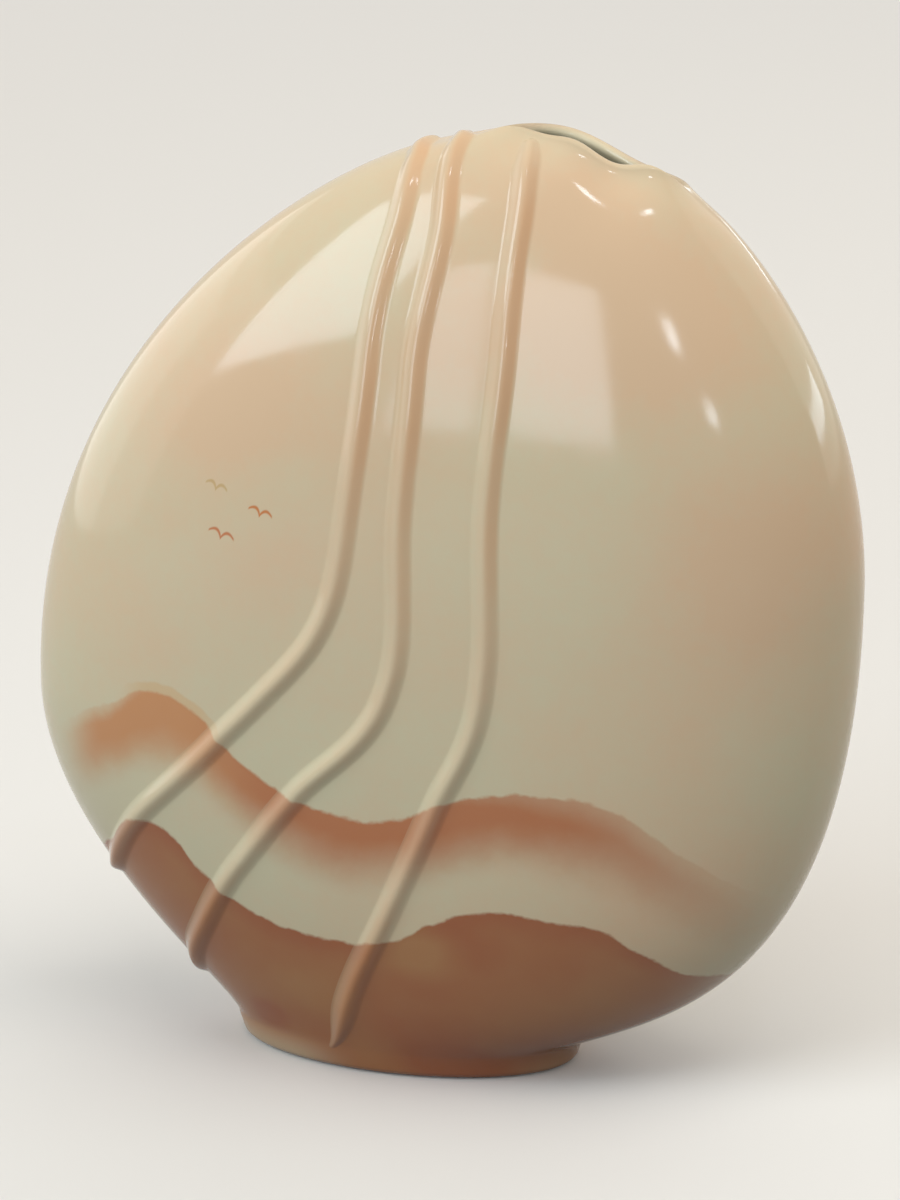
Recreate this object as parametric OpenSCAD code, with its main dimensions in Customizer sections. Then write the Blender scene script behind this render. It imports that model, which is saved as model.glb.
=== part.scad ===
// Pillow vase.
// Two dished clay walls meet edge to edge along a seam that runs round both sides. They stand on
// a floor slab, which a foot ring carries. Three clay coils are luted on the front as raised ribs:
// they fall from the top, bend, and sweep down to the lower left edge and to the foot.
// The origin is at the middle of the foot's underside, +Z is up, and the front faces -Y.

/* [Edges] */
// How far the left edge reaches from the middle of the foot
left_reach = 94; // [82:0.5:104]
// Height at which the left edge reaches furthest
left_belly_z = 89.5; // [78:0.5:102]
// How far the right edge reaches from the middle of the foot
right_reach = 111; // [98:0.5:122]
// Height at which the right edge reaches furthest
right_belly_z = 127; // [120:1:140]
// Depth of the vase from front to back at the belly
body_d = 76; // [66:1:88]
// How full the left edge is below its widest point
left_fullness_low = 41; // [28:1:52]
// How full the left edge is above its widest point
left_fullness_high = 97; // [80:1:112]
// How full the right edge is below its widest point
right_fullness_low = 112; // [90:1:116]
// How full the right edge is above its widest point
right_fullness_high = 49.5; // [35:0.5:62]

/* [Mouth] */
// Place of the mouth's left end, from the middle of the foot
mouth_left_x = 19; // [14:0.5:24]
// Height of the mouth's left end
mouth_left_z = 232; // [224:0.5:245]
// Place of the mouth's right end, from the middle of the foot
mouth_right_x = 67.5; // [62:0.5:71.5]
// Height of the mouth's right end
mouth_right_z = 222; // [214:0.5:234]
// Depth of the mouth from front to back, over both lips
mouth_d = 18; // [17.5:0.5:24]
// Thickness of the rolled lip
lip_t = 3; // [2:0.1:3.2]
// Height that the collar round the mouth stands up
collar_h = 2; // [0:0.1:4]
// How far the front and back swell out below the mouth
neck_swell = 16; // [10:0.5:22]
// How far the front lip rises in its middle
front_lip_rise = 4.1; // [0:0.1:6]
// Heights of the front lip's ripples, from the longest to the shortest
front_lip_ripples = [1.1, 0.9, -0.4, 0.9]; // [-2:0.1:2]
// How far the back lip rises in its middle
back_lip_rise = 1.5; // [0:0.1:6]
// Heights of the back lip's ripples, from the longest to the shortest
back_lip_ripples = [1.7, -0.3, 0, 0]; // [-2:0.1:2]

/* [Walls and foot] */
// Thickness of the two walls
wall_t = 4; // [3:0.1:5.5]
// Width of the foot from left to right, at the ground
foot_w = 85; // [76:1:96]
// Depth of the foot from front to back, at the ground
foot_d = 43; // [38:0.5:50]
// How far the side of the foot leans out over its height
foot_lean = 1.6; // [0:0.1:3.5]
// How far the front and back flare out just above the foot
foot_flare = 3; // [1:0.5:8]
// Thickness of the floor slab
floor_t = 3; // [2.5:0.1:6]
// Height of the foot ring
ring_h = 2.5; // [2.4:0.1:8]
// Width of the foot ring's rim
ring_w = 7; // [5:0.1:9]
// Radius of the foot ring's outer bottom corner
ring_edge_r = 2; // [0.5:0.1:2.2]

/* [Ribs] */
// Width of a rib
rib_w = 6.4; // [4:0.1:8]
// Height that a rib stands off the wall
rib_h = 1.5; // [0.8:0.1:2.5]
// Thickness of a rib at its long edges
rib_edge_t = 0.25; // [0.15:0.05:0.6]
// Length over which a rib dies away at each end
rib_fade = 12; // [6:0.5:18]
// Thickness of the slip that lutes a rib to the wall
slip_t = 0.2; // [0.15:0.05:0.4]
// Width of a rib's ends, as a share of its full width
rib_end_share = 0.55; // [0.3:0.05:1]

/* [Hidden] */

glaze = "antiquewhite";
terracotta = "peru";

// A place on the wall is given by two numbers. "turn" is in degrees round the vase, from the left
// seam (0) over the middle of the front (90) to the right seam (180) and round the back. "up" is
// the share of the way from the foot (0) to the lip (1).
belly_up = 0.42;
shoulder_up = 0.62;
rim_up = 0.9;
collar_up = 0.93;
wave_up = 0.75;
lip_taper_up = 0.8;

foot_h = ring_h + floor_t;
foot_left = [-foot_w / 2 - foot_lean, foot_h];
foot_right = [foot_w / 2 + foot_lean, foot_h];
belly_left = [-left_reach, left_belly_z];
belly_right = [right_reach, right_belly_z];
mouth_left = [mouth_left_x, mouth_left_z];
mouth_right = [mouth_right_x, mouth_right_z];

// The pull of each edge curve as it leaves the foot and as it comes to the mouth, across and up
left_foot_pull = [0, 7.5];
right_foot_pull = [12, 10];
left_mouth_pull = [-23, 3.5];
right_mouth_pull = [15, -9.5];

// How square a level section is: 2 is an ellipse, more is fuller towards its ends
foot_squareness = 2;
belly_squareness = 2.5;
mouth_squareness = 2.1;

wall_columns = 26;
lip_steps = 4;
corner_steps = 5;
foot_sides = 2 * wall_columns;
rib_stations = 66;
rib_points = 7;
rib_crown_power = 1.3;
length_steps = 200;
length_steps_per_ring = 60;

turn_step = 0.5;
up_step = 0.004;
route_step = 0.002;
bore_past = 1;

// Routes of the ribs over the wall, each point as [turn, up], from the top down
left_route = [[-10, 0.922], [12, 0.909], [35, 0.88], [57, 0.805], [74, 0.665], [81, 0.545], [77, 0.46],
              [61, 0.4], [46, 0.34], [24, 0.266], [3, 0.243]];
middle_route = [[-8, 0.972], [12, 0.961], [35, 0.935], [68, 0.818], [82.5, 0.665], [88, 0.54],
                [87.5, 0.425], [74, 0.365], [62, 0.305], [45.5, 0.21], [20.5, 0.125], [2, 0.105]];
right_route = [[64, 0.99], [76, 0.925], [87.5, 0.835], [96.5, 0.685], [100.5, 0.54], [101, 0.42],
               [94, 0.355], [86.5, 0.28], [78, 0.165], [71.5, 0.005]];

// ---------- curves ----------

function pulled_curve(p, t) =
    p[0] * pow(1 - t, 3) + 3 * p[1] * pow(1 - t, 2) * t + 3 * p[2] * (1 - t) * t * t + p[3] * t * t * t;

// Through the foot, the belly and the mouth, as two curves that meet at the belly
function low_and_high(low, high, up) =
    up < belly_up ? pulled_curve(low, up / belly_up) : pulled_curve(high, (up - belly_up) / (1 - belly_up));

function ease(x) = let (c = min(1, max(0, x))) c * c * (3 - 2 * c);

function ease_from(start, up) = ease((up - start) / (1 - start));

function unit(v) = v / norm(v);

// Even steps from one value up to another, without the first
function steps_to(from, to, n) = [for (i = [1:n]) from + (to - from) * i / n];

// A smooth line through all points of a route, with t from 0 to 1
function through(points, t) =
    let (n = len(points) - 1, i = min(n - 1, floor(t * n)), f = t * n - i,
         b = points[i], c = points[i + 1],
         a = i > 0 ? points[i - 1] : 2 * b - c,
         d = i < n - 1 ? points[i + 2] : 2 * c - b)
    (2 * b + (c - a) * f + (2 * a - 5 * b + 4 * c - d) * f * f + (3 * b - a - 3 * c + d) * pow(f, 3)) / 2;

// ---------- the outside of the wall ----------

function left_edge(up) = low_and_high(
    [foot_left, foot_left + left_foot_pull, belly_left - [0, left_fullness_low], belly_left],
    [belly_left, belly_left + [0, left_fullness_high], mouth_left + left_mouth_pull, mouth_left],
    up);

function right_edge(up) = low_and_high(
    [foot_right, foot_right + right_foot_pull, belly_right - [0, right_fullness_low], belly_right],
    [belly_right, belly_right + [0, right_fullness_high], mouth_right + right_mouth_pull, mouth_right],
    up);

function half_depth(up) = low_and_high(
    [foot_d / 2 + foot_lean, foot_d / 2 + foot_lean + foot_flare, body_d / 2, body_d / 2],
    [body_d / 2, body_d / 2, mouth_d / 2 + neck_swell, mouth_d / 2],
    up);

function squareness(up) = up < belly_up
    ? foot_squareness + (belly_squareness - foot_squareness) * ease(up / belly_up)
    : belly_squareness + (mouth_squareness - belly_squareness) * ease_from(belly_up, up);

// Rise of a lip at a share of the way from the mouth's left end to its right end
function lip_rise(middle, ripples, share) =
    middle * sin(180 * share) + ripples * [for (i = [2:5]) sin(180 * i * share)];

function outside(turn, up) =
    let (share = (1 - cos(turn)) / 2,
         middle = left_edge(up) * (1 - share) + right_edge(up) * share,
         bulge = sqrt(max(0, 1 - pow(abs(cos(turn)), squareness(up)))),
         rise = sin(turn) >= 0 ? lip_rise(front_lip_rise, front_lip_ripples, share)
                               : lip_rise(back_lip_rise, back_lip_ripples, share))
    [middle[0],
     -sign(sin(turn)) * half_depth(up) * bulge,
     middle[1] + collar_h * ease_from(collar_up, up) + rise * ease_from(wave_up, up)];

// The way round and the way up along the outside, per degree and per whole height
function way_round(turn, up) =
    (outside(turn + turn_step, up) - outside(turn - turn_step, up)) / (2 * turn_step);

function way_up(turn, up) = (outside(turn, up + up_step) - outside(turn, up - up_step)) / (2 * up_step);

function out_of(turn, up) = unit(cross(way_round(turn, up), way_up(turn, up)));

// ---------- walls ----------

// Heights of the rows of points, close together where the wall curves most
wall_rows = concat([0], steps_to(0, belly_up, 10), steps_to(belly_up, shoulder_up, 10),
                   steps_to(shoulder_up, rim_up, 8), steps_to(rim_up, 1, 6));

function thickness(up) = wall_t + (lip_t - wall_t) * ease_from(lip_taper_up, up);

function inside(turn, up) = outside(turn, up) - thickness(up) * out_of(turn, up);

// The inside carried straight on down to the level of the floor
function inside_at_floor(turn) =
    let (p = inside(turn, 0), w = way_up(turn, 0)) p - w * (p[2] - foot_h) / w[2];

// The round of the lip, from the outside over the top to the inside
function lip_round(turn) =
    let (n = out_of(turn, 1), w = unit(way_up(turn, 1)), middle = outside(turn, 1) - n * lip_t / 2)
    [for (i = [1:lip_steps - 1]) let (b = 180 * i / lip_steps)
        middle + (n * cos(b) + w * sin(b)) * lip_t / 2];

// One upright slice through a wall: up the outside, over the lip and down the inside
function slice(turn, on_seam) =
    let (last = len(wall_rows) - 1,
         points = concat([for (up = wall_rows) outside(turn, up)],
                         lip_round(turn),
                         [for (i = [last:-1:1]) inside(turn, wall_rows[i])],
                         [inside_at_floor(turn)]))
    on_seam ? [for (p = points) [p[0], 0, p[2]]] : points;

// Triangles between two neighbouring slices of n points each
function band(a, b, n) =
    [for (k = [0:n - 1]) let (m = (k + 1) % n) each [[a + k, a + m, b + m], [a + k, b + m, b + k]]];

// Triangles that close a slice: pairs across the wall, then the round of the lip
function slice_face(first, rows, n) =
    [for (i = [0:rows - 2]) let (k = n - 1 - i)
         each [[first + i, first + i + 1, first + k - 1], [first + i, first + k - 1, first + k]],
     for (i = [rows:rows + lip_steps - 2]) [first + rows - 1, first + i, first + i + 1]];

function flipped(faces) = [for (f = faces) [f[2], f[1], f[0]]];

module wall(start) {
    slices = [for (i = [0:wall_columns])
        slice(start + 180 * i / wall_columns, i == 0 || i == wall_columns)];
    n = len(slices[0]);
    faces = concat(
        [for (i = [0:wall_columns - 1]) each band(i * n, (i + 1) * n, n)],
        flipped(slice_face(0, len(wall_rows), n)),
        slice_face(wall_columns * n, len(wall_rows), n));
    polyhedron([for (s = slices) each s], faces, convexity = 6);
}

module front_wall() {
    color(glaze) wall(0);
}

module back_wall() {
    color(glaze) wall(180);
}

// ---------- floor and foot ----------

// The foot's outline, drawn in by a distance
function foot_outline(inset) =
    [for (i = [0:foot_sides - 1]) let (b = 360 * i / foot_sides)
        [(foot_w / 2 - inset) * cos(b), (foot_d / 2 - inset) * sin(b)]];

// How far the side of the foot stands in at a height; less than nothing where it leans out
function foot_inset(z) = -foot_lean * z / foot_h;

// A slab through levels that are each given as [inset, height], from the bottom up
module slab(levels) {
    points = [for (l = levels) each [for (p = foot_outline(l[0])) [p[0], p[1], l[1]]]];
    top = (len(levels) - 1) * foot_sides;
    sides = [for (j = [0:len(levels) - 2], i = [0:foot_sides - 1])
        let (m = (i + 1) % foot_sides, a = j * foot_sides, b = a + foot_sides)
        each [[a + i, b + m, a + m], [a + i, b + i, b + m]]];
    under = [for (i = [1:foot_sides - 2]) [0, i, i + 1]];
    over = [for (f = flipped(under)) f + [top, top, top]];
    polyhedron(points, concat(sides, under, over), convexity = 4);
}

module floor() {
    color(glaze) slab([[foot_inset(ring_h), ring_h], [foot_inset(foot_h), foot_h]]);
}

// The foot ring: a slab with its outer bottom corner rounded, bored through
module foot_ring() {
    corner = [for (i = [0:corner_steps]) let (b = 90 * i / corner_steps, z = ring_edge_r * (1 - cos(b)))
        [ring_edge_r * (1 - sin(b)) + foot_inset(z), z]];
    color(glaze) difference() {
        slab(concat(corner, [[foot_inset(ring_h), ring_h]]));
        translate([0, 0, -bore_past]) linear_extrude(ring_h + 2 * bore_past) polygon(foot_outline(ring_w));
    }
}

// ---------- ribs ----------

// A place on the wall that lies a distance to the side of a rib's route
function beside(turn, up, side, distance) =
    let (r = way_round(turn, up), u = way_up(turn, up),
         rr = r * r, ru = r * u, uu = u * u,
         sr = distance * side * r, su = distance * side * u,
         whole = rr * uu - ru * ru)
    [turn + (sr * uu - su * ru) / whole, up + (su * rr - sr * ru) / whole];

function off_wall(place, height) = outside(place[0], place[1]) + height * out_of(place[0], place[1]);

// How much of its full height a rib has at a distance from its nearer end
function rib_swell(distance) = let (c = min(1, max(0, distance / rib_fade))) sqrt(c * (2 - c));

// Length of a route from its top to t, measured over the wall in so many steps
function route_length(route, steps, t = 1) =
    let (p = [for (i = [0:steps]) let (r = through(route, t * i / steps)) outside(r[0], r[1])],
         d = [for (i = [1:steps]) norm(p[i] - p[i - 1])])
    d * [for (i = [1:steps]) 1];

// One ring of points round a rib: over its crown, then back along its seat on the wall
function rib_ring(route, t, swell) =
    let (here = through(route, t),
         before = through(route, max(0, t - route_step)),
         after = through(route, min(1, t + route_step)),
         along = unit(outside(after[0], after[1]) - outside(before[0], before[1])),
         side = unit(cross(out_of(here[0], here[1]), along)),
         half = rib_w / 2 * (rib_end_share + (1 - rib_end_share) * swell),
         crown = rib_edge_t + (rib_h - rib_edge_t) * swell)
    concat(
        [for (i = [0:rib_points - 1])
            let (x = 2 * i / (rib_points - 1) - 1,
                 h = rib_edge_t + (crown - rib_edge_t) * pow(cos(90 * x), rib_crown_power))
            off_wall(beside(here[0], here[1], side, x * half), slip_t + h)],
        [for (i = [2:-1:0])
            off_wall(beside(here[0], here[1], side, (i - 1) * half), slip_t)]);

// A rib tapers to nothing at both ends, and lies on the wall along its whole route
module rib(route) {
    steps = rib_stations - 1;
    whole = route_length(route, length_steps);
    rings = [for (i = [0:steps])
        let (t = i / steps, done = i == 0 ? 0 : route_length(route, length_steps_per_ring, t))
        rib_ring(route, t, rib_swell(min(done, whole - done)))];
    n = len(rings[0]);
    last = steps * n;
    closing = [for (i = [1:n - 2]) [0, i, i + 1]];
    faces = concat(
        [for (i = [0:steps - 1]) each band(i * n, (i + 1) * n, n)],
        flipped(closing),
        [for (f = closing) f + [last, last, last]]);
    polyhedron([for (r = rings) each r], faces, convexity = 8);
}

module rib_left() {
    color(terracotta) rib(left_route);
}

module rib_middle() {
    color(terracotta) rib(middle_route);
}

module rib_right() {
    color(terracotta) rib(right_route);
}

front_wall();
back_wall();
floor();
foot_ring();
rib_left();
rib_middle();
rib_right();
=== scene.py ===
"""Pillow vase: glazed walls, foot and ribs with a soft airbrushed glaze, dressed over the frame."""
import math

import bpy
import numpy as np
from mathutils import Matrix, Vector


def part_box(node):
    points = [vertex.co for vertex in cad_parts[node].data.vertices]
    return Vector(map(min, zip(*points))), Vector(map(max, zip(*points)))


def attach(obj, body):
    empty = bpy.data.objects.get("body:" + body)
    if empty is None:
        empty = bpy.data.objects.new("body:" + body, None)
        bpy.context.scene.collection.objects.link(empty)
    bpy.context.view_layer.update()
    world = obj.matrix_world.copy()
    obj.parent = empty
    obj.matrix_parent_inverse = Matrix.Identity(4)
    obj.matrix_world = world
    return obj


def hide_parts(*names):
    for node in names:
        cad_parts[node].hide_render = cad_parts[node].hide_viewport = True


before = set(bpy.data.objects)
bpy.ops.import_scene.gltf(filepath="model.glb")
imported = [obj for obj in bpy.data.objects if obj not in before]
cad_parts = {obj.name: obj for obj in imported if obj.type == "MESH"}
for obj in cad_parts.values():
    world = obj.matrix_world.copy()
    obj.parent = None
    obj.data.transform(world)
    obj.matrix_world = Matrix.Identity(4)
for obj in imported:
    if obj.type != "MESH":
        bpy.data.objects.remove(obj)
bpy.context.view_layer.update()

MM = 0.001


def node_box(node):
    """Lowest and highest corner of a CAD node, in millimetres."""
    low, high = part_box(node)
    return np.array(low) / MM, np.array(high) / MM


# ---------- sizes of the form, in millimetres ----------

LEFT_REACH = -node_box("front_wall")[0][0]
RIGHT_REACH = node_box("front_wall")[1][0]
BODY_D = 2 * node_box("back_wall")[1][1]
FOOT_H = node_box("floor")[1][2]
RING_H = node_box("foot_ring")[1][2]

WALL_T = 4.0
LIP_T = 3.0
FOOT_W = 85.0
FOOT_D = 43.0
FOOT_LEAN = 1.6
FOOT_FLARE = 3.0
RING_W = 7.0
RING_EDGE_R = 2.0
RING_BORE_R = 0.8
FLOOR_INNER_INSET = 2.0
JOINT_UP = 0.035
MOUTH_D = 18.0
NECK_SWELL = 16.0
COLLAR_H = 2.0
COLLAR_DRAW = 0.6
COLLAR_END_DIP = 0.5
COLLAR_END_POWER = 8

# Heights of each lip's waves, from the longest to the shortest
FRONT_RISE = [4.1, 1.1, 0.9, -0.4, 0.9]
BACK_RISE = [1.5, 1.7, -0.3]

# The two edges (x, z), each as two curves that meet at the belly; the points between pull them
FOOT_LEFT = np.array([-FOOT_W / 2 - FOOT_LEAN, FOOT_H])
FOOT_RIGHT = np.array([FOOT_W / 2 + FOOT_LEAN, FOOT_H])
BELLY_LEFT = np.array([-LEFT_REACH, 89.5])
BELLY_RIGHT = np.array([RIGHT_REACH, 127.0])
MOUTH_LEFT = np.array([19.0, 232.0])
MOUTH_RIGHT = np.array([67.5, 222.0])
LEFT_EDGE = ([FOOT_LEFT, FOOT_LEFT + [0, 7.5], BELLY_LEFT - [0, 41], BELLY_LEFT],
             [BELLY_LEFT, BELLY_LEFT + [0, 97], MOUTH_LEFT + [-23, 3.5], MOUTH_LEFT])
RIGHT_EDGE = ([FOOT_RIGHT, FOOT_RIGHT + [12, 10], BELLY_RIGHT - [0, 112], BELLY_RIGHT],
              [BELLY_RIGHT, BELLY_RIGHT + [0, 49.5], MOUTH_RIGHT + [15, -9.5], MOUTH_RIGHT])

# Half of the depth between the edges, in the same way
FOOT_HALF_D = FOOT_D / 2 + FOOT_LEAN
HALF_DEPTH = ([[FOOT_HALF_D], [FOOT_HALF_D + FOOT_FLARE], [BODY_D / 2], [BODY_D / 2]],
              [[BODY_D / 2], [BODY_D / 2], [MOUTH_D / 2 + NECK_SWELL], [MOUTH_D / 2]])
FOOT_SQUARENESS = 2.0
BELLY_SQUARENESS = 2.5
MOUTH_SQUARENESS = 2.1

# A place on the wall is [turn, up]: turn in degrees round the vase from the left seam (0) over the
# middle of the front (90) to the right seam (180), and up from the foot (0) to the lip (1).
BELLY_UP = 0.42
RIM_UP = 0.9
COLLAR_UP = 0.93
WAVE_UP = 0.75
LIP_TAPER_UP = 0.8
TURN_STEP = 0.5
UP_STEP = 0.004

WALL_COLUMNS = 188
LOW_ROWS = 72
HIGH_ROWS = 88
RIM_ROWS = 34
LIP_STEPS = 12
FOOT_SIDES = 2 * WALL_COLUMNS
CORNER_STEPS = 10
FOOT_SHARP_ANGLE = 40.0

# Each rib's route over the wall, as places [turn, up] from its top end to its low end
ROUTES = {
    "rib_left": [[-10, 0.922], [12, 0.909], [34.5, 0.881], [57.1, 0.805], [73.6, 0.666], [79.6, 0.546],
                 [77.9, 0.458], [62.7, 0.394], [46.5, 0.338], [24, 0.264], [3, 0.242]],
    "rib_middle": [[-8, 0.972], [12, 0.961], [36, 0.934], [68, 0.819], [82.3, 0.664], [87.5, 0.54],
                   [88.4, 0.423], [74.7, 0.362], [63.1, 0.302], [45.3, 0.211], [20.5, 0.127], [2, 0.107]],
    "rib_right": [[64, 0.99], [75.7, 0.927], [87.2, 0.836], [96.7, 0.687], [99.9, 0.541], [101, 0.419],
                  [94.4, 0.354], [87.6, 0.277], [78.9, 0.163], [70.8, 0.008]],
}
RIB_HALF_W = 4.2
RIB_H = 1.85
RIB_POWER = 2.3
RIB_TOP_FADE = 9.0
RIB_LOW_FADE = 18.0
RIB_END_SHARE = 0.2
RIB_SINK = 0.02
RIB_SEAT_DEPTH = 0.7
RIB_STEP = 0.9
RIB_POINTS = 29
RIB_BLEND_FROM = 0.72
RIB_BLEND_W = 0.2
ROUTE_SAMPLES = 1500


# ---------- the surface of the wall ----------

def pulled_curve(points, t):
    """The cubic curve from the first to the last of four points, pulled by the two between them."""
    a, b, c, d = (np.asarray(p, float) for p in points)
    t = t[..., None]
    return a * (1 - t) ** 3 + 3 * b * (1 - t) ** 2 * t + 3 * c * (1 - t) * t ** 2 + d * t ** 3


def low_and_high(halves, up):
    """Through the foot, the belly and the mouth, as two curves that meet at the belly."""
    low, high = halves
    return np.where((up < BELLY_UP)[..., None],
                    pulled_curve(low, up / BELLY_UP),
                    pulled_curve(high, (up - BELLY_UP) / (1 - BELLY_UP)))


def ease(x):
    """A smooth step from 0 to 1."""
    c = np.clip(x, 0, 1)
    return c * c * (3 - 2 * c)


def ease_from(start, up):
    """A smooth step that starts at a height and ends at the lip."""
    return ease((up - start) / (1 - start))


def squareness(up):
    """The power of the wall's level sections: 2 is an ellipse, more is squarer."""
    low = FOOT_SQUARENESS + (BELLY_SQUARENESS - FOOT_SQUARENESS) * ease(up / BELLY_UP)
    high = BELLY_SQUARENESS + (MOUTH_SQUARENESS - BELLY_SQUARENESS) * ease_from(BELLY_UP, up)
    return np.where(up < BELLY_UP, low, high)


def lip_rise(heights, share):
    """Rise of a lip: one long swell over the mouth's width, and shorter ripples on it."""
    return sum(h * np.sin(np.pi * (i + 1) * share) for i, h in enumerate(heights))


def past_collar(up):
    """How far a height is up the collar, from 0 at its start to 1 at the lip."""
    return np.maximum(0, (up - COLLAR_UP) / (1 - COLLAR_UP))


def outside(turn, up):
    """Points on the outside of the wall, in millimetres."""
    turn, up = np.broadcast_arrays(np.asarray(turn, float), np.asarray(up, float))
    cos, sin = np.cos(np.radians(turn)), np.sin(np.radians(turn))
    share = (1 - cos) / 2
    left, right = low_and_high(LEFT_EDGE, up), low_and_high(RIGHT_EDGE, up)
    middle = left * (1 - share[..., None]) + right * share[..., None]
    bulge = np.sqrt(np.maximum(0, 1 - np.abs(cos) ** squareness(up)))
    rise = np.where(sin >= 0, lip_rise(FRONT_RISE, share), lip_rise(BACK_RISE, share))
    # The collar is drawn in a little, then stands up, less at the mouth's two ends
    c = past_collar(up)
    collar = COLLAR_H * c ** 2 * (1 - COLLAR_END_DIP * cos ** COLLAR_END_POWER)
    drawn_up = np.where(c > 0, COLLAR_UP + (1 - COLLAR_UP) * (c + COLLAR_DRAW * (c ** 2 - c ** 3)), up)
    return np.stack([
        middle[..., 0],
        -np.sign(sin) * low_and_high(HALF_DEPTH, drawn_up)[..., 0] * bulge,
        middle[..., 1] + collar + rise * ease_from(WAVE_UP, up)], axis=-1)


def unit(v):
    return v / np.linalg.norm(v, axis=-1, keepdims=True)


def dot(a, b):
    return np.sum(a * b, axis=-1, keepdims=True)


def way_round(turn, up):
    """The way round the wall, in millimetres per degree."""
    return (outside(turn + TURN_STEP, up) - outside(turn - TURN_STEP, up)) / (2 * TURN_STEP)


def way_up(turn, up):
    """The way up the wall, in millimetres from foot to lip."""
    return (outside(turn, up + UP_STEP) - outside(turn, up - UP_STEP)) / (2 * UP_STEP)


def out_of(turn, up):
    """The way straight out of the wall."""
    return unit(np.cross(way_round(turn, up), way_up(turn, up)))


def thickness(up):
    """The wall's thickness, which tapers to the lip's."""
    return WALL_T + (LIP_T - WALL_T) * ease_from(LIP_TAPER_UP, up)


# ---------- meshes ----------

def mesh_object(name, points, faces, normals=None, marks=None, sharp_angle=None):
    """A piece from points in millimetres, with its own normals or with edges sharp past an angle."""
    mesh = bpy.data.meshes.new(name)
    mesh.from_pydata((points * MM).tolist(), [], faces)
    mesh.shade_smooth()
    for mark, values in (marks or {}).items():
        attribute = mesh.attributes.new(mark, "FLOAT", "POINT")
        attribute.data.foreach_set("value", np.asarray(values, np.float32))
    if normals is not None:
        mesh.normals_split_custom_set_from_vertices(unit(normals).tolist())
    if sharp_angle is not None:
        mesh.set_sharp_from_angle(angle=math.radians(sharp_angle))
    piece = bpy.data.objects.new(name, mesh)
    bpy.context.scene.collection.objects.link(piece)
    return piece


def loop_faces(loops, n):
    """Faces between neighbouring closed loops of n points each."""
    return [(i * n + k, (i + 1) * n + k, (i + 1) * n + (k + 1) % n, i * n + (k + 1) % n)
            for i in range(loops - 1) for k in range(n)]


def seat_in_frame(piece, node, material):
    """Puts a piece in the place of its CAD node."""
    piece.data.materials.append(material)
    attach(piece, "root")
    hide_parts(node)
    return piece


def wall_rows():
    """Heights of the wall's rows, closer together near the lip."""
    return np.concatenate([np.linspace(0, BELLY_UP, LOW_ROWS + 1),
                           np.linspace(BELLY_UP, RIM_UP, HIGH_ROWS + 1)[1:],
                           np.linspace(RIM_UP, 1, RIM_ROWS + 1)[1:]])


def lip_round(turns):
    """The round of the lip, from the outside over the top to the inside, and its normals."""
    n, w = out_of(turns, 1.0), unit(way_up(turns, 1.0))
    middle = outside(turns, 1.0) - n * LIP_T / 2
    b = np.linspace(0, np.pi, LIP_STEPS + 1)[1:-1, None, None]
    normals = n * np.cos(b) + w * np.sin(b)
    return np.swapaxes(middle + normals * LIP_T / 2, 0, 1), np.swapaxes(normals, 0, 1)


def seam_faces(first, rows, n, flip):
    """Faces that close a wall where it meets the other one: across the wall, then over the lip."""
    faces = [(first + i, first + i + 1, first + n - 2 - i, first + n - 1 - i) for i in range(rows - 1)]
    faces.append(tuple(first + i for i in range(rows - 1, rows + LIP_STEPS)))
    return [f[::-1] for f in faces] if flip else faces


def foot_side_normal(turns):
    """The way out of the leaning side of the foot."""
    cos, sin = -np.cos(np.radians(turns)), -np.sin(np.radians(turns))
    down = FOOT_LEAN * (FOOT_W * sin ** 2 + FOOT_D * cos ** 2)
    return unit(np.stack([FOOT_D * cos * FOOT_H, FOOT_W * sin * FOOT_H, -down], axis=-1))


def joint_normal(turns):
    """Between the ways out of the wall and of the foot, so that one runs softly into the other."""
    return unit(foot_side_normal(turns) + out_of(turns, 0.0))


def make_wall(name, start):
    """Half of the vase, as upright slices: up the outside, over the lip and down the inside."""
    turns = start + np.linspace(0, 180, WALL_COLUMNS + 1)
    ups = wall_rows()
    outer = outside(turns[:, None], ups[None, :])
    normals = out_of(turns[:, None], ups[None, :])
    inner = outer - thickness(ups)[None, :, None] * normals
    in_joint = (1 - ease(ups / JOINT_UP))[None, :, None]
    shown = unit(normals * (1 - in_joint) + joint_normal(turns)[:, None] * in_joint)
    down = way_up(turns, 0.0)
    at_floor = inner[:, 0] - down * (inner[:, 0, 2:] - FOOT_H) / down[:, 2:]
    rim, rim_normals = lip_round(turns)
    points = np.concatenate([outer, rim, inner[:, :0:-1], at_floor[:, None]], axis=1)
    normals = np.concatenate([shown, rim_normals, -normals[:, ::-1]], axis=1)
    # Both ends lie exactly in the plane where the front and back walls meet
    points[[0, -1], :, 1] = 0
    rows, n = len(ups), points.shape[1]
    inner_share = np.concatenate([np.zeros(rows), np.linspace(0, 1, LIP_STEPS + 1)[1:-1], np.ones(rows)])
    faces = loop_faces(len(turns), n)
    faces += seam_faces(0, rows, n, False)
    faces += seam_faces(WALL_COLUMNS * n, rows, n, True)
    return mesh_object(name, points.reshape(-1, 3), faces, normals.reshape(-1, 3),
                       {"inner": np.tile(inner_share, len(turns))})


def foot_outline(inset, z):
    """The foot's oval at a height, drawn in by an inset."""
    b = np.linspace(0, 2 * np.pi, FOOT_SIDES, endpoint=False)
    half_w, half_d = FOOT_W / 2 - inset, FOOT_D / 2 - inset
    return np.stack([half_w * np.cos(b), half_d * np.sin(b), np.full_like(b, z)], axis=-1)


def foot_inset(z):
    """How far the side of the foot stands in at a height; less than nothing where it leans out."""
    return -FOOT_LEAN * z / FOOT_H


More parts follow.
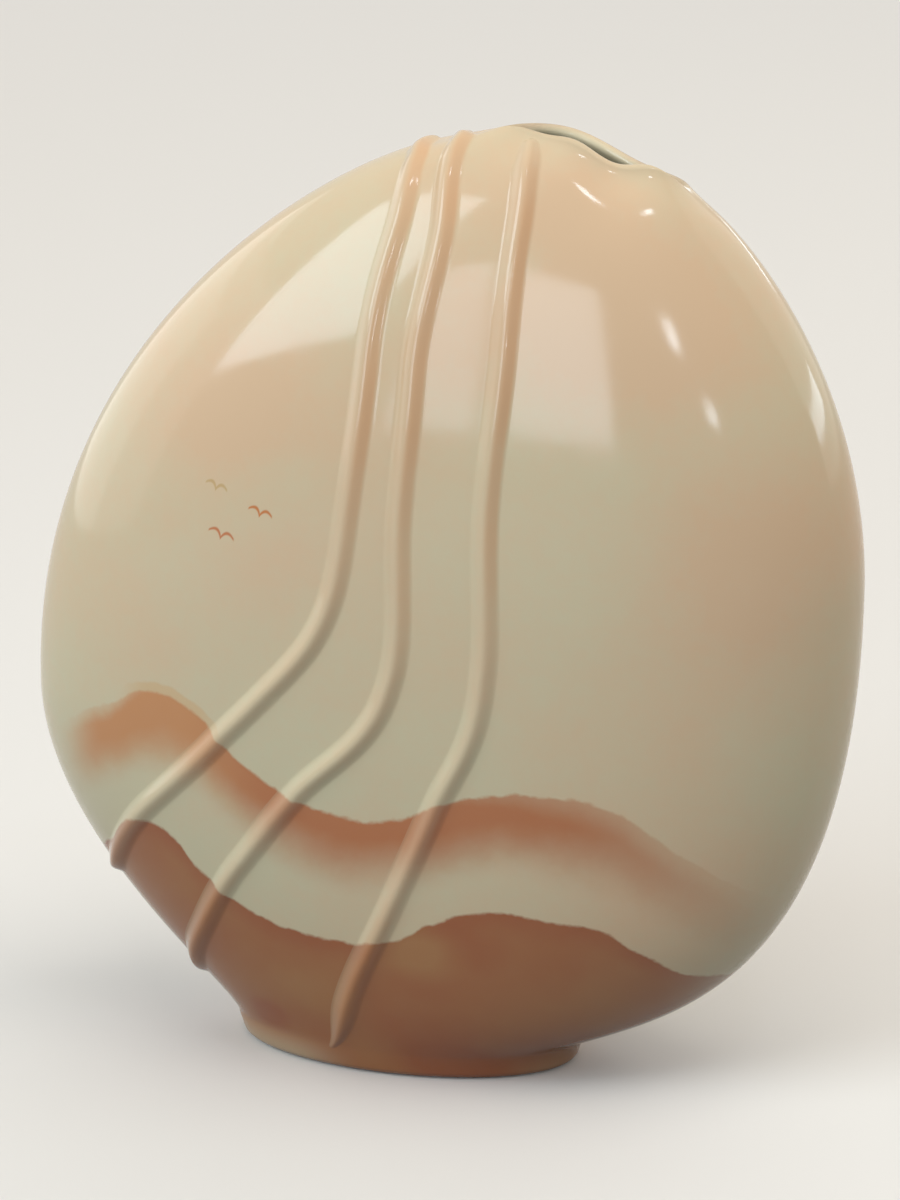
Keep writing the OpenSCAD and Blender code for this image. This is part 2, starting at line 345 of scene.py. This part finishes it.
def make_floor(name):
    """A slab across the foot; its top is the bottom of the inside."""
    loops = [(FLOOR_INNER_INSET, RING_H), (foot_inset(RING_H), RING_H), (foot_inset(FOOT_H), FOOT_H),
             (FLOOR_INNER_INSET, FOOT_H)]
    points = np.concatenate([foot_outline(inset, z) for inset, z in loops])
    n = FOOT_SIDES
    turns = np.linspace(0, 360, n, endpoint=False) - 180
    level = np.tile([0.0, 0.0, 1.0], (n, 1))
    normals = np.concatenate([-level, foot_side_normal(turns), joint_normal(turns), level])
    faces = [f[::-1] for f in loop_faces(len(loops), n)]
    faces += [tuple(reversed(range(n))), tuple(range((len(loops) - 1) * n, len(loops) * n))]
    return mesh_object(name, points, faces, normals, {"inner": np.repeat([0.0, 0.0, 0.0, 1.0], n)})


def make_foot_ring(name):
    """A ring with a rounded outer bottom corner, a flat underside to stand on and an upright hole."""
    side = [(foot_inset(RING_H), RING_H)]
    for b in np.linspace(np.pi / 2, 0, CORNER_STEPS + 1):
        z = RING_EDGE_R * (1 - math.cos(b))
        side.append((RING_EDGE_R * (1 - math.sin(b)) + foot_inset(z), z))
    bore = [(RING_W - RING_BORE_R * (1 - math.sin(b)), RING_BORE_R * (1 - math.cos(b)))
            for b in np.linspace(0, np.pi / 2, CORNER_STEPS // 2 + 1)] + [(RING_W, RING_H)]
    profile = side + bore
    loops = np.stack([foot_outline(inset, z) for inset, z in profile], axis=1)
    points = loops.reshape(-1, 3)
    n = len(profile)
    faces = []
    for i in range(FOOT_SIDES):
        here, there = i * n, (i + 1) % FOOT_SIDES * n
        faces += [(here + k, here + (k + 1) % n, there + (k + 1) % n, there + k) for k in range(n)]
    # The glaze is wiped off from the lower end of the outer corner to the top of the hole
    bare = np.array([0.0] * (len(side) - 2) + [0.5, 1.0] + [1.0] * len(bore))
    return mesh_object(name, points, faces, marks={"bare": np.tile(bare, FOOT_SIDES)},
                       sharp_angle=FOOT_SHARP_ANGLE)


# ---------- ribs ----------

def through(route, t):
    """A smooth line through all points of a route, with t from 0 to 1."""
    points = np.array(route, float)
    points = np.vstack([2 * points[0] - points[1], points, 2 * points[-1] - points[-2]])
    last = len(points) - 4
    i = np.minimum(last, np.floor(t * (last + 1)).astype(int))
    f = (t * (last + 1) - i)[:, None]
    a, b, c, d = points[i], points[i + 1], points[i + 2], points[i + 3]
    square, cube = 2 * a - 5 * b + 4 * c - d, 3 * b - a - 3 * c + d
    return (2 * b + (c - a) * f + square * f ** 2 + cube * f ** 3) / 2


def even_stations(route):
    """Places along a route at even steps over the wall, and how far along each of them lies."""
    places = through(route, np.linspace(0, 1, ROUTE_SAMPLES))
    on_wall = outside(places[:, 0], places[:, 1])
    far = np.concatenate([[0], np.cumsum(np.linalg.norm(np.diff(on_wall, axis=0), axis=1))])
    at = np.linspace(0, far[-1], int(far[-1] / RIB_STEP) + 1)
    return np.stack([np.interp(at, far, places[:, 0]), np.interp(at, far, places[:, 1])], axis=-1), at


def beside(place, side, distance):
    """Places on the wall that lie a distance to the side of a route."""
    r, u = way_round(place[:, 0], place[:, 1]), way_up(place[:, 0], place[:, 1])
    rr, ru, uu = dot(r, r), dot(r, u), dot(u, u)
    sr, su = dot(side, r) * distance, dot(side, u) * distance
    whole = rr * uu - ru * ru
    return place[:, :1] + (sr * uu - su * ru) / whole, place[:, 1:] + (su * rr - sr * ru) / whole


def rib_swell(at):
    """How far the coil has grown in height and in width, from its ends to its full size."""
    top_end = np.clip(at / RIB_TOP_FADE, 0, 1)
    low_end = np.clip((at[-1] - at) / RIB_LOW_FADE, 0, 1)
    swell = np.minimum(np.sqrt(top_end * (2 - top_end)), low_end * (2 - low_end))
    return swell[:, None], np.minimum(swell, np.sin(np.pi / 2 * low_end))[:, None]


def rib_normals(top, across, wall_normals):
    """The coil's own normals, which run into the wall's along both flanks."""
    own = unit(np.cross(np.gradient(top, axis=1), np.gradient(top, axis=0)))
    own *= np.sign(dot(own, wall_normals))
    blend = ease((np.abs(across) - RIB_BLEND_FROM) / RIB_BLEND_W)[..., None]
    return unit(own * (1 - blend) + wall_normals * blend)


def make_rib(name, route):
    """A coil that is smoothed into the wall on both sides and dies away at both ends."""
    places, at = even_stations(route)
    on_wall = outside(places[:, 0], places[:, 1])
    along = unit(np.gradient(on_wall, axis=0))
    side = unit(np.cross(out_of(places[:, 0], places[:, 1]), along))
    swell, width = rib_swell(at)
    across = np.linspace(-1, 1, RIB_POINTS)[None, :]
    half = RIB_HALF_W * (RIB_END_SHARE + (1 - RIB_END_SHARE) * width)
    turn, up = beside(places, side, across * half)
    wall_normals = out_of(turn, up)
    bump = np.cos(np.pi / 2 * across) ** RIB_POWER
    height = RIB_H * swell * bump - RIB_SINK
    top = outside(turn, up) + height[..., None] * wall_normals
    # The seat lies under the wall's skin, below the right flank, the crest and the left flank
    under = [-1, RIB_POINTS // 2, 0]
    seat = top[:, under] - RIB_SEAT_DEPTH * wall_normals[:, under]
    points = np.concatenate([top, seat], axis=1)
    normals = np.concatenate([rib_normals(top, across, wall_normals), -wall_normals[:, under]], axis=1)
    rings, n = points.shape[:2]
    faces = loop_faces(rings, n)
    faces.append(tuple(range(n)))
    faces.append(tuple((rings - 1) * n + k for k in reversed(range(n))))
    no_marks = np.zeros((rings, len(under)))
    marks = {"crest": np.concatenate([bump * swell, no_marks], axis=1),
             "across": np.concatenate([across * np.ones_like(height), no_marks], axis=1),
             "along": np.repeat(at / at[-1], n)}
    marks = {mark: values.reshape(-1) for mark, values in marks.items()}
    return mesh_object(name, points.reshape(-1, 3), faces, normals.reshape(-1, 3), marks)


# ---------- materials ----------

def srgb(r, g, b):
    """A colour given as screen values from 0 to 255, as the shader wants it."""
    linear = [(c / 255 / 12.92) if c <= 10 else ((c / 255 + 0.055) / 1.055) ** 2.4 for c in (r, g, b)]
    return (*linear, 1.0)


CREAM = srgb(204, 193, 160)
PEACH = srgb(214, 181, 146)
LIGHT_ORANGE = srgb(198, 134, 84)
TERRACOTTA = srgb(181, 106, 60)
RUSSET = srgb(154, 77, 32)
CLAY_TAN = srgb(166, 109, 60)
FRINGE = srgb(206, 172, 128)
FOOT_PALE = srgb(190, 164, 132)
RIB_ORANGE = srgb(214, 168, 126)
INNER_GLAZE = srgb(230, 218, 186)
BARE_CLAY = srgb(206, 186, 158)
BARE_CLAY_DARK = srgb(188, 166, 136)

GLAZE_IOR = 1.5
GLAZE_ROUGH = (0.075, 0.125)
GLAZE_BUMP = 0.35
GLAZE_BUMP_H = 0.05

# Where noise lies for the most part, and where the front ends behind the edges, in y
NOISE_SPAN = (0.3, 0.7)
FRONT_FADE = (26, 4)

# Soft peach clouds on the front: middle (x, z), reach (across, up) in millimetres, and strength
CLOUDS = [((60, 196), (42, 36), 0.75), ((86, 138), (36, 46), 0.6), ((20, 196), (18, 36), 0.45),
          ((-38, 170), (32, 30), 0.45), ((-62, 114), (28, 26), 0.35), ((30, 226), (44, 16), 0.5),
          ((-28, 138), (28, 24), 0.3), ((72, 60), (50, 40), 0.4)]

# Upper edges of the two airbrushed bands, as points (x, z) in millimetres over the front
UPPER_BAND = [(-94, 76), (-86, 82), (-77, 88), (-66, 94), (-54, 98.2), (-46, 96), (-38, 90), (-27, 81.5),
              (-15, 76), (-3, 73.5), (6, 74.5), (18, 79.5), (28, 82.7), (42, 83.3), (54, 81.8), (65, 75.5),
              (78, 66), (88, 58), (111, 46)]
LOWER_BAND = [(-94, 34), (-80, 46), (-70, 55.5), (-60, 64), (-53, 62), (-45, 53.5), (-34, 46), (-21, 41.3),
              (-8, 39.5), (4, 41.5), (16, 48), (26, 51.3), (42, 51), (54, 48.8), (64, 42.3), (76, 34),
              (111, 20)]

# Clay-coloured and russet clouds in the lower band: middle (x, z), reach (across, up) and strength
LOWER_CLOUDS = [((46, 24), (26, 14), 0.25), ((-20, 23), (20, 12), 0.3), ((12, 39), (15, 11), 0.8),
                ((-31, 12), (9, 7), -0.6), ((12, 13), (26, 12), -0.45), ((24, 41), (16, 10), -0.5),
                ((20, 5), (26, 8), -0.5)]

# Three gliding birds: place of the body (x, z), half of the wing span and strength
BIRDS = [((-38.2, 151.2), 3.0, 0.6), ((-26.7, 146.4), 3.2, 0.95), ((-36.7, 139.8), 3.5, 0.9)]
BIRD_COLOURS = [srgb(186, 148, 84), srgb(196, 116, 58), srgb(192, 109, 60)]
BIRD_TILT = 14.0
BIRD_HUMP = 0.5
BIRD_HUMP_POWER = 0.75
BIRD_HUMP_TURN = 0.86 * math.pi
BIRD_LINE = 0.42
BIRD_TIP_LINE = 0.189
BIRD_LINE_EDGE = (0.34, -0.2)
BIRD_TIP_FADE = (1.04, 0.9)
BIRD_FRONT_FADE = (0.0, -4.0)


class Tree:
    """Builds the nodes of a material or of the world with short calls; most return an output."""

    def __init__(self, owner):
        owner.use_nodes = True
        self.owner = owner
        self.nodes = owner.node_tree.nodes
        self.links = owner.node_tree.links
        self.nodes.clear()

    def node(self, kind, **settings):
        made = self.nodes.new(kind)
        for name, value in settings.items():
            setattr(made, name, value)
        return made

    def plug(self, socket, value):
        """Links an output to a socket, or sets the socket to a plain value."""
        if isinstance(value, bpy.types.NodeSocket):
            self.links.new(value, socket)
        else:
            socket.default_value = value

    def math(self, operation, *values):
        made = self.node("ShaderNodeMath", operation=operation)
        for socket, value in zip(made.inputs, values):
            self.plug(socket, value)
        return made.outputs[0]

    def times(self, *values):
        result = values[0]
        for value in values[1:]:
            result = self.math("MULTIPLY", result, value)
        return result

    def step(self, value, start, end, low=0.0, high=1.0):
        """A smooth change from low to high as a value goes from start to end."""
        made = self.node("ShaderNodeMapRange", interpolation_type="SMOOTHSTEP")
        for socket, given in zip(made.inputs, (value, start, end, low, high)):
            self.plug(socket, given)
        return made.outputs[0]

    def mix(self, share, a, b):
        made = self.node("ShaderNodeMix", data_type="RGBA")
        self.plug(made.inputs[0], share)
        self.plug(made.inputs[6], a)
        self.plug(made.inputs[7], b)
        return made.outputs[2]

    def noise(self, size, detail=2.0, roughness=0.5, offset=0.0):
        """Cloudy noise with patches about that many millimetres across."""
        made = self.node("ShaderNodeTexNoise", noise_dimensions="4D")
        self.plug(made.inputs["Vector"], self.place())
        self.plug(made.inputs["W"], offset)
        self.plug(made.inputs["Scale"], 1 / size)
        self.plug(made.inputs["Detail"], detail)
        self.plug(made.inputs["Roughness"], roughness)
        return made.outputs[0]

    def mark(self, name):
        """One of the marks that mesh_object stored with the points."""
        return self.node("ShaderNodeAttribute", attribute_name=name).outputs["Fac"]

    def seen(self):
        """1 where the camera, a reflection or a view through glass looks, 0 for the light on things."""
        rays = self.node("ShaderNodeLightPath").outputs
        return self.math("MAXIMUM", rays["Is Camera Ray"],
                         self.math("MAXIMUM", rays["Is Glossy Ray"], rays["Is Transmission Ray"]))

    def place(self):
        """The place on the object, in millimetres."""
        if not hasattr(self, "_place"):
            scale = self.node("ShaderNodeVectorMath", operation="SCALE")
            self.plug(scale.inputs[0], self.node("ShaderNodeTexCoord").outputs["Object"])
            scale.inputs["Scale"].default_value = 1 / MM
            self._place = scale.outputs[0]
        return self._place

    def xyz(self):
        """The three parts of the place."""
        if not hasattr(self, "_xyz"):
            split = self.node("ShaderNodeSeparateXYZ")
            self.plug(split.inputs[0], self.place())
            self._xyz = tuple(split.outputs)
        return self._xyz

    def line(self, value, points):
        """A smooth line through points (value, result)."""
        low = min(p[1] for p in points) - 1
        high = max(p[1] for p in points) + 1
        start, end = points[0][0], points[-1][0]
        across = self.node("ShaderNodeMapRange")
        for socket, given in zip(across.inputs, (value, start, end, 0.0, 1.0)):
            self.plug(socket, given)
        made = self.node("ShaderNodeFloatCurve")
        curve = made.mapping.curves[0]
        for i, (at, result) in enumerate(points):
            spot = ((at - start) / (end - start), (result - low) / (high - low))
            if i in (0, len(points) - 1):
                curve.points[0 if i == 0 else -1].location = spot
            else:
                curve.points.new(*spot)
        made.mapping.update()
        self.plug(made.inputs["Value"], across.outputs[0])
        return self.math("MULTIPLY_ADD", made.outputs[0], high - low, low)


def bird_share(tree, place, half_span):
    """How much of a small gliding bird covers a point: two humped wings that taper to their tips."""
    x, y, z = tree.xyz()
    tilt = math.radians(BIRD_TILT)
    dx, dz = tree.math("SUBTRACT", x, place[0]), tree.math("SUBTRACT", z, place[1])
    across = tree.math("SUBTRACT", tree.times(dx, math.cos(tilt)), tree.times(dz, math.sin(tilt)))
    rise = tree.math("ADD", tree.times(dx, math.sin(tilt)), tree.times(dz, math.cos(tilt)))
    share = tree.math("DIVIDE", tree.math("ABSOLUTE", across), half_span)
    inside_span = tree.math("MINIMUM", share, 1.0)
    hump = tree.math("SINE", tree.times(tree.math("POWER", inside_span, BIRD_HUMP_POWER), BIRD_HUMP_TURN))
    off_line = tree.math("ABSOLUTE", tree.math("SUBTRACT", rise, tree.times(hump, BIRD_HUMP * half_span)))
    width = tree.math("MULTIPLY_ADD", inside_span, BIRD_TIP_LINE - BIRD_LINE, BIRD_LINE)
    over = tree.math("SUBTRACT", off_line, width)
    return tree.times(tree.step(over, *BIRD_LINE_EDGE), tree.step(share, *BIRD_TIP_FADE),
                      tree.step(y, *BIRD_FRONT_FADE))


def cloud_share(tree, middle, reach):
    """A soft round patch on the front: 1 in its middle, 0 at its reach."""
    away = tree.node("ShaderNodeVectorMath", operation="SUBTRACT")
    tree.plug(away.inputs[0], tree.place())
    away.inputs[1].default_value = (middle[0], 0, middle[1])
    scaled = tree.node("ShaderNodeVectorMath", operation="MULTIPLY")
    tree.plug(scaled.inputs[0], away.outputs[0])
    scaled.inputs[1].default_value = (1 / reach[0], 0, 1 / reach[1])
    length = tree.node("ShaderNodeVectorMath", operation="LENGTH")
    tree.plug(length.inputs[0], scaled.outputs[0])
    return tree.step(length.outputs["Value"], 1.0, 0.1)


def add_clouds(tree, share, clouds, cover=1.0):
    """A share with the strength of soft clouds added to it."""
    for middle, reach, strength in clouds:
        share = tree.math("ADD", share, tree.times(cloud_share(tree, middle, reach), strength, cover))
    return share


def warm_share(tree, patches, front):
    """How far the cream turns to peach: clouds, patches and specks, and more of it higher up."""
    clouds = tree.noise(62, 2.0, 0.45, 3.1)
    specks = tree.noise(3.2, 2.0, 0.6, 1.9)
    warm = tree.math("ADD", tree.step(clouds, 0.42, 0.7, 0.0, 0.4),
                     tree.step(specks, *NOISE_SPAN, -0.08, 0.08))
    warm = tree.math("ADD", warm, tree.step(patches, *NOISE_SPAN, -0.12, 0.12))
    warm = tree.math("ADD", warm, tree.step(tree.xyz()[2], 62, 124, 0.0, 0.36))
    return add_clouds(tree, warm, CLOUDS, front)


def edge_wobble(tree):
    """Small wobbles of the bands' upper edges, in millimetres."""
    fine = tree.step(tree.noise(3.5, 2.0, 0.6, 5.3), 0.25, 0.75, -0.35, 0.35)
    coarse = tree.step(tree.noise(13, 2.0, 0.5, 2.3), 0.25, 0.75, -0.8, 0.8)
    return tree.math("ADD", fine, coarse)


def below_edge(tree, band, wobble):
    """How far a point lies under a band's upper edge, in millimetres."""
    x, _, z = tree.xyz()
    return tree.math("ADD", tree.math("SUBTRACT", tree.line(x, band), z), wobble)


def spray_upper_band(tree, colour, below, patches, front, band_strength):
    """A crisp upper edge that softens to both ends, over a spray that is gone 25 mm further down."""
    x = tree.xyz()[0]
    fringe = tree.times(tree.step(below, -3.2, -2.0, 0.0, 0.75), tree.step(below, 1.0, 0.0),
                        tree.step(x, -66, -56), tree.step(x, -32, -44), front)
    colour = tree.mix(fringe, colour, FRINGE)
    ends = tree.times(tree.step(x, -86, -70), tree.step(x, 100, 46))
    depth = tree.math("MULTIPLY_ADD", tree.step(patches, *NOISE_SPAN, -1.0, 1.0), 0.9, below)
    fade_from = tree.math("ADD", tree.step(x, -30, -58, 4.0, 8.0), tree.step(x, 0, 25, 0.0, 2.0))
    fade_to = tree.step(x, 30, 65, 23.0, 26.5)
    edge_w = tree.math("ADD", tree.step(x, 10, 60, 1.0, 8.0), tree.step(x, -54, -70, 0.0, 4.0))
    edge_share = tree.times(tree.step(x, 10, 60, 0.9, 0.6), tree.step(x, -54, -70, 1.0, 0.3))
    soft_edge = tree.step(below, -0.5, edge_w, edge_share)
    spray = tree.times(tree.step(below, -0.5, 0.7), soft_edge,
                       tree.step(depth, fade_to, fade_from, 0.0, 0.95))
    spray = tree.times(spray, ends, front, band_strength)
    return tree.mix(spray, colour, tree.mix(tree.step(x, -48, -22), LIGHT_ORANGE, TERRACOTTA))


def spray_lower_band(tree, colour, below, front, band_strength):
    """A crisp upper edge, then mottled clay colours down to a foot that is paler at both sides."""
    x, _, z = tree.xyz()
    ends = tree.times(tree.step(x, 100, 66), tree.step(x, -94, -78))
    mottle = tree.step(tree.noise(22, 2.0, 0.45, 4.4), *NOISE_SPAN, 0.3, 0.7)
    tan = tree.math("SUBTRACT", add_clouds(tree, mottle, LOWER_CLOUDS), tree.step(below, 8, 0, 0.0, 0.4))
    sides = tree.math("ADD", tree.step(x, -6, -26), tree.step(x, 26, 40, 0.0, 0.4))
    at_foot = tree.times(tree.step(z, 10, 1), sides)
    clay = tree.mix(tree.times(at_foot, 0.8), tree.mix(tan, RUSSET, CLAY_TAN), FOOT_PALE)
    return tree.mix(tree.times(tree.step(below, -0.4, 0.8, 0.0, 0.95), ends, front, band_strength), colour, clay)


def glaze_colour(tree, band_strength=1.0):
    """The airbrushed colour of the outside: cream and peach clouds, two bands and three birds."""
    patches = tree.noise(24, 3.0, 0.5, 8.7)
    front = tree.step(tree.xyz()[1], *FRONT_FADE)
    colour = tree.mix(warm_share(tree, patches, front), CREAM, PEACH)
    wobble = edge_wobble(tree)
    colour = spray_upper_band(tree, colour, below_edge(tree, UPPER_BAND, wobble), patches, front, band_strength)
    colour = spray_lower_band(tree, colour, below_edge(tree, LOWER_BAND, wobble), front, band_strength)
    for (place, half_span, strength), bird in zip(BIRDS, BIRD_COLOURS):
        colour = tree.mix(tree.times(bird_share(tree, place, half_span), strength), colour, bird)
    return colour


def finish_glaze(tree, colour, rough=0.0):
    """The finished material: a clear, slightly uneven glaze over the colour."""
    shader = tree.node("ShaderNodeBsdfPrincipled")
    shader.inputs["IOR"].default_value = GLAZE_IOR
    tree.plug(shader.inputs["Base Color"], colour)
    uneven = tree.step(tree.noise(14, 3.0, 0.55, 6.4), *NOISE_SPAN, *GLAZE_ROUGH)
    tree.plug(shader.inputs["Roughness"], tree.math("ADD", uneven, rough))
    bump = tree.node("ShaderNodeBump")
    bump.inputs["Strength"].default_value = GLAZE_BUMP
    bump.inputs["Distance"].default_value = GLAZE_BUMP_H * MM
    ripple = tree.math("MULTIPLY_ADD", tree.noise(2.2, 1.0, 0.5, 4.2), 0.12, tree.noise(9, 1.0, 0.4, 2.6))
    tree.plug(bump.inputs["Height"], ripple)
    tree.plug(shader.inputs["Normal"], bump.outputs[0])
    out = tree.node("ShaderNodeOutputMaterial")
    tree.links.new(shader.outputs[0], out.inputs[0])
    return tree.owner


def wall_material():
    """The airbrushed glaze outside and a plain cream one inside."""
    tree = Tree(bpy.data.materials.new("glazed_wall"))
    inside = tree.step(tree.mark("inner"), 0.35, 0.8)
    return finish_glaze(tree, tree.mix(inside, glaze_colour(tree), INNER_GLAZE))


def rib_material():
    """The wall's colour; the bands are painted paler on the left flanks, a painted highlight standing in
    for light from the upper left.
    """
    tree = Tree(bpy.data.materials.new("glazed_rib"))
    crest, across, along = tree.mark("crest"), tree.mark("across"), tree.mark("along")
    # Painted light: the bands are thinned to 0.8 on the left flanks, where the light from the upper left
    # falls, and kept full on the right flanks
    band_strength = tree.step(across, -0.5, 0.3, 0.8, 1.0)
    tint = tree.mix(tree.step(tree.xyz()[2], 42, 60), LIGHT_ORANGE, PEACH)
    colour = tree.mix(tree.step(crest, 0.2, 0.9, 0.0, 0.3), glaze_colour(tree, band_strength), tint)
    # The upper half of each rib is orange on its right flank
    right_flank = tree.times(tree.step(crest, 0.0, 0.3), tree.step(across, -0.15, 0.3))
    upper_half = tree.times(tree.step(along, 0.62, 0.26), tree.step(along, 0.0, 0.05))
    uneven = tree.step(tree.noise(30, 2.0, 0.5, 7.7), 0.3, 0.65, 0.45, 0.85)
    colour = tree.mix(tree.times(right_flank, upper_half, uneven), colour, RIB_ORANGE)
    return finish_glaze(tree, colour)


def foot_material():
    """Glazed on the side, bare clay on the underside and in the hole."""
    tree = Tree(bpy.data.materials.new("foot_glaze_and_clay"))
    bare = tree.step(tree.mark("bare"), 0.3, 0.7)
    speck = tree.step(tree.noise(1.4, 2.0, 0.6, 9.2), *NOISE_SPAN)
    clay = tree.mix(speck, BARE_CLAY, BARE_CLAY_DARK)
    return finish_glaze(tree, tree.mix(bare, glaze_colour(tree), clay), tree.times(bare, 0.6))


# ---------- the vase ----------

wall_glaze = wall_material()
rib_glaze = rib_material()
seat_in_frame(make_wall("front_shell", 0), "front_wall", wall_glaze)
seat_in_frame(make_wall("back_shell", 180), "back_wall", wall_glaze)
seat_in_frame(make_floor("floor_slab"), "floor", wall_glaze)
seat_in_frame(make_foot_ring("foot_ring_glazed"), "foot_ring", foot_material())
for rib_node, rib_route in ROUTES.items():
    seat_in_frame(make_rib(rib_node + "_glazed", rib_route), rib_node, rib_glaze)

# ---------- floor, light and camera ----------

# The camera looks at a point from this way round and this far up, in degrees and metres
LOOK_AT = Vector((10.3, 0.0, 117.4)) * MM
CAMERA_AZIMUTH = 15.0
CAMERA_ELEVATION = 19.0
CAMERA_DISTANCE = 1.1
LENS = 136.8
SENSOR_W = 36.0
LAMP_DISTANCE = 1.6
WORLD_LIGHT = 0.26
WARM_WHITE = (1.0, 0.965, 0.91)
COOL_WHITE = (0.88, 1.02, 1.13)
BACKDROP = srgb(226, 223, 217)

# The floor: its radius in metres, where it fades into the backdrop in millimetres, and its paper
FLOOR_R = 7.0
FLOOR_SIDES = 96
FLOOR_FADE = (300, 1900)
PAPER_DARK = srgb(220, 217, 212)
PAPER_LIGHT = srgb(225, 222, 218)
PAPER_CLOUD = 900
PAPER_ROUGH = 0.85
PAPER_SHINE = 0.15
GROUND_BOUNCE = srgb(88, 80, 68)


def toward(azimuth, elevation):
    """The way from the vase to a place round it; azimuth 0 is straight in front, towards -Y."""
    a, e = math.radians(azimuth), math.radians(elevation)
    return Vector((math.sin(a) * math.cos(e), -math.cos(a) * math.cos(e), math.sin(e)))


def softbox(name, azimuths, elevations, radiance, colour=COOL_WHITE, reflected=True):
    """A rectangular lamp that fills a window of directions, as seen from the vase."""
    azimuth, elevation = sum(azimuths) / 2, sum(elevations) / 2
    half_w, half_h = (math.radians((r[1] - r[0]) / 2) for r in (azimuths, elevations))
    data = bpy.data.lights.new(name, "AREA")
    data.shape = "RECTANGLE"
    data.size = 2 * LAMP_DISTANCE * math.tan(half_w) * math.cos(math.radians(elevation))
    data.size_y = 2 * LAMP_DISTANCE * math.tan(half_h)
    data.energy = radiance * math.pi * data.size * data.size_y
    data.color = colour
    lamp = bpy.data.objects.new(name, data)
    lamp.location = LOOK_AT + LAMP_DISTANCE * toward(azimuth, elevation)
    lamp.rotation_euler = toward(azimuth, elevation).to_track_quat("Z", "Y").to_euler()
    lamp.visible_camera = False
    lamp.visible_glossy = reflected
    bpy.context.scene.collection.objects.link(lamp)
    return lamp


def make_world():
    """An even pale surround; the camera and the glaze's reflections see it as a pale backdrop."""
    tree = Tree(bpy.data.worlds.new("surround"))
    light, pale = tree.node("ShaderNodeBackground"), tree.node("ShaderNodeBackground")
    light.inputs["Color"].default_value = (*WARM_WHITE, 1)
    light.inputs["Strength"].default_value = WORLD_LIGHT
    pale.inputs["Color"].default_value = BACKDROP
    blend, out = tree.node("ShaderNodeMixShader"), tree.node("ShaderNodeOutputWorld")
    tree.plug(blend.inputs[0], tree.seen())
    tree.links.new(light.outputs[0], blend.inputs[1])
    tree.links.new(pale.outputs[0], blend.inputs[2])
    tree.links.new(blend.outputs[0], out.inputs[0])
    bpy.context.scene.world = tree.owner


def ground_material():
    """Pale paper that keeps the vase's shadow."""
    tree = Tree(bpy.data.materials.new("ground_paper"))
    shader = tree.node("ShaderNodeBsdfPrincipled")
    shader.inputs["Roughness"].default_value = PAPER_ROUGH
    shader.inputs["Specular IOR Level"].default_value = PAPER_SHINE
    paper = tree.mix(tree.noise(PAPER_CLOUD, 2.0, 0.5, 0.4), PAPER_DARK, PAPER_LIGHT)
    # Only what is seen is this pale: less light comes back up on to the vase's underside
    seen = tree.seen()
    tree.plug(shader.inputs["Base Color"], tree.mix(seen, GROUND_BOUNCE, paper))
    # Far from the vase, where the lamps don't reach, the floor is seen to run into the backdrop
    far = tree.node("ShaderNodeVectorMath", operation="LENGTH")
    tree.plug(far.inputs[0], tree.place())
    pale = tree.node("ShaderNodeEmission")
    pale.inputs["Color"].default_value = BACKDROP
    blend, out = tree.node("ShaderNodeMixShader"), tree.node("ShaderNodeOutputMaterial")
    tree.plug(blend.inputs[0], tree.times(tree.step(far.outputs["Value"], *FLOOR_FADE), seen))
    tree.links.new(shader.outputs[0], blend.inputs[1])
    tree.links.new(pale.outputs[0], blend.inputs[2])
    tree.links.new(blend.outputs[0], out.inputs[0])
    return tree.owner


def make_ground():
    """A wide, plain, pale floor."""
    mesh = bpy.data.meshes.new("ground")
    b = np.linspace(0, 2 * np.pi, FLOOR_SIDES, endpoint=False)
    rim = np.stack([FLOOR_R * np.cos(b), FLOOR_R * np.sin(b), 0 * b], axis=-1)
    mesh.from_pydata(rim.tolist(), [], [tuple(range(FLOOR_SIDES))])
    mesh.materials.append(ground_material())
    ground = bpy.data.objects.new("ground", mesh)
    bpy.context.scene.collection.objects.link(ground)


def make_lamps():
    """Windows and reflectors that show in the glaze, and soft light that doesn't."""
    softbox("window_left", (-63, -27), (16, 46), 4.4)
    softbox("window_strip", (-19, -11), (1, 26), 2.7)
    softbox("window_front", (-8.5, 9.5), (1, 26), 3.4)
    softbox("reflector_left", (-132, -62), (-14, 32), 0.6, WARM_WHITE)
    softbox("reflector_far_left", (-132, -84), (-12, 26), 0.6, WARM_WHITE)
    softbox("reflector_right", (95, 160), (0, 50), 0.6, WARM_WHITE)
    softbox("ceiling", (-20, 100), (60, 88), 3.2, WARM_WHITE, reflected=False)
    softbox("ceiling_right", (60, 110), (35, 60), 1.3, WARM_WHITE, reflected=False)
    softbox("fill_behind", (140, 220), (10, 50), 1.1, WARM_WHITE, reflected=False)
    softbox("lamp_overhead", (34, 43), (55.5, 58.5), 16.0)
    softbox("lamp_right_high", (28, 31), (18.5, 24), 13.0)
    softbox("lamp_right_low", (34, 37), (8, 11), 11.0)
    softbox("rim_right", (100, 131), (7, 12), 4.0)
    softbox("lamp_behind_right", (153, 168), (10.8, 13.4), 3.5)


def make_camera():
    data = bpy.data.cameras.new("camera")
    data.lens = LENS
    data.sensor_width = SENSOR_W
    camera = bpy.data.objects.new("camera", data)
    away = toward(CAMERA_AZIMUTH, CAMERA_ELEVATION)
    camera.location = LOOK_AT + CAMERA_DISTANCE * away
    camera.rotation_euler = away.to_track_quat("Z", "Y").to_euler()
    bpy.context.scene.collection.objects.link(camera)
    bpy.context.scene.camera = camera


make_world()
make_ground()
make_lamps()
make_camera()
bpy.context.scene.view_settings.view_transform = "Standard"
